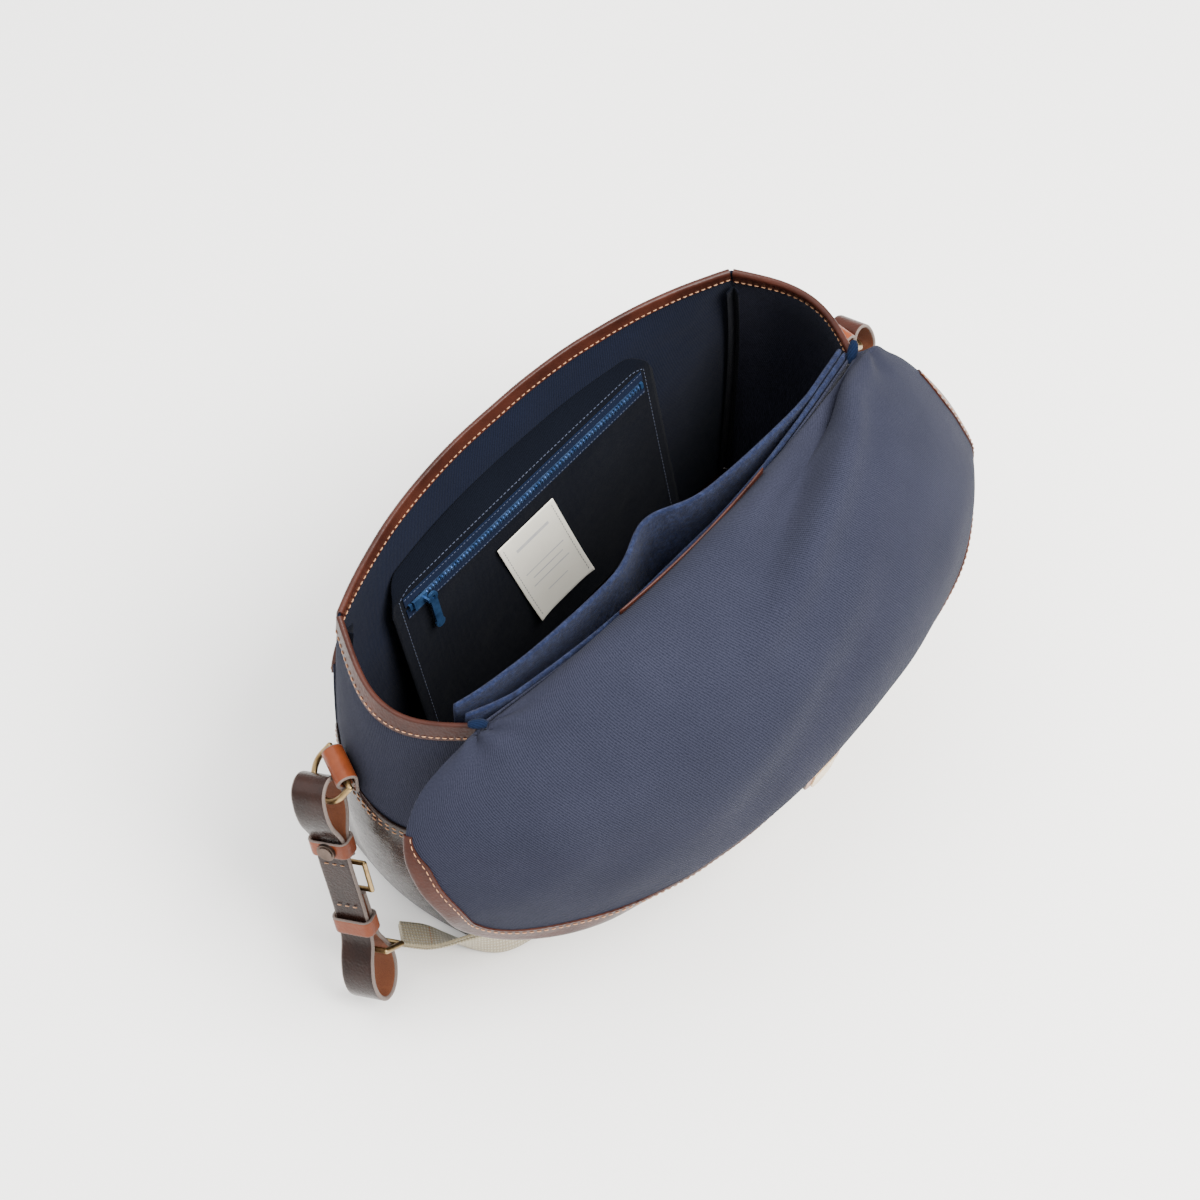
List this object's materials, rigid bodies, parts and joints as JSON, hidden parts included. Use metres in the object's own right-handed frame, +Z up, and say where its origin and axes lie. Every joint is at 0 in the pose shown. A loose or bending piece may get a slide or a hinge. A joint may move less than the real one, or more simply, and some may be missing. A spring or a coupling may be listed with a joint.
{
  "type": "messenger bag",
  "caption": "Open canvas messenger bag with leather bindings, felt laptop sleeve, zip pocket, thrown-back flap and shoulder strap",
  "frame": {"origin": "middle of the underside of the base, on the surface the bag stands on", "axes": "+Z up, +X to the right of someone who faces the front, the front faces -Y, the flap hangs behind at +Y"},
  "size_m": [0.567, 0.3034, 0.3013],
  "materials": {
    "canvas_navy": "diagonal twill, matt",
    "leather_brown": "oiled, soft sheen",
    "leather_cognac": "vegetable tanned, soft sheen",
    "felt_blue": "wool felt, mottled",
    "lining_dark": "plain cotton, matt",
    "zip_cloth": "woven tape",
    "zip_metal": "satin",
    "aged_brass": "aged, satin",
    "dark_metal": "satin",
    "label_cloth": "woven, matt",
    "webbing_cotton": "coarse cotton webbing",
    "board": "covered stiffener"
  },
  "bodies": {
    "bag": {"base_leather": "leather_brown", "base_board": "board", "front_panel": "canvas_navy", "back_panel": "canvas_navy", "end_panel_right": "canvas_navy", "end_panel_left": "canvas_navy", "end_leather_right": "leather_brown", "end_leather_left": "leather_brown", "binding_front": "leather_brown", "binding_right": "leather_brown", "binding_left": "leather_brown", "front_pocket": "canvas_navy", "pocket_binding": "leather_brown", "lock_patch": "leather_brown", "lock_plate": "aged_brass", "lock_rivets": "aged_brass", "zip_pocket": "lining_dark", "zip_tape": "zip_cloth", "zip_teeth": "zip_metal", "zip_stops": "zip_metal", "care_label": "label_cloth", "felt_front": "felt_blue", "felt_rear": "felt_blue", "slip_pocket_edge": "leather_brown", "corner_tab_right": "zip_cloth", "corner_tab_left": "zip_cloth", "ring_tab_right": "leather_cognac", "ring_tab_left": "leather_cognac", "d_ring_right": "aged_brass", "d_ring_left": "aged_brass", "carrying_band": "leather_brown", "keeper_upper": "leather_cognac", "keeper_lower": "leather_cognac", "band_stud": "dark_metal", "buckle_frame": "aged_brass", "strap_ring": "aged_brass", "shoulder_strap": "webbing_cotton", "strap_end_left": "leather_brown"},
    "flap_rear_third": {"flap_root": "canvas_navy"},
    "flap_middle_third": {"flap_middle": "canvas_navy", "flap_binding_middle": "leather_brown"},
    "flap_front_third": {"flap_front": "canvas_navy", "flap_binding_front": "leather_brown", "flap_tab": "leather_cognac", "tab_tongue": "aged_brass", "tab_rivets": "aged_brass"},
    "slider": {"zip_slider": "zip_metal"},
    "pull": {"zip_pull": "zip_metal"},
    "prong": {"buckle_prong": "aged_brass"},
    "catch": {"lock_catch": "aged_brass"}
  },
  "joints": [
    {"name": "flap_hinge", "type": "hinge", "parent": "bag", "child": "flap_rear_third", "pos_m": [0, 0.0701, 0.3019], "axis": [1, 0, 0], "range_deg": [0, 198]},
    {"name": "flap_bend", "type": "hinge", "parent": "flap_rear_third", "child": "flap_middle_third", "pos_m": [0, 0.14345, 0.28304], "axis": [1, 0, 0], "range_deg": [0, 39.4]},
    {"name": "flap_fold", "type": "hinge", "parent": "flap_middle_third", "child": "flap_front_third", "pos_m": [0, 0.19782, 0.19844], "axis": [1, 0, 0], "range_deg": [0, 130.6]},
    {"name": "zip_slide", "type": "slide", "parent": "bag", "child": "slider", "axis": [-1, 0, 0], "range_m": [0, 0.206]},
    {"name": "zip_pull_swing", "type": "hinge", "parent": "slider", "child": "pull", "pos_m": [0.1114, -0.05662, 0.22316], "axis": [0, -0.9806, -0.1961], "range_deg": [-68, 68]},
    {"name": "buckle_prong_swing", "type": "hinge", "parent": "bag", "child": "prong", "pos_m": [0.25701, -0.00769, 0.12014], "axis": [-0.3627, 0.8842, 0.2944], "range_deg": [0, 62]},
    {"name": "lock_catch_slide", "type": "slide", "parent": "bag", "child": "catch", "axis": [0, 0.1307, -0.9914], "range_m": [0, 0.003], "stiffness_N_per_m": 300}
  ],
  "couplings": [
    {"joint": "flap_bend", "follows": "flap_hinge", "ratio": 0.1982},
    {"joint": "flap_fold", "follows": "flap_hinge", "ratio": 0.659}
  ]
}
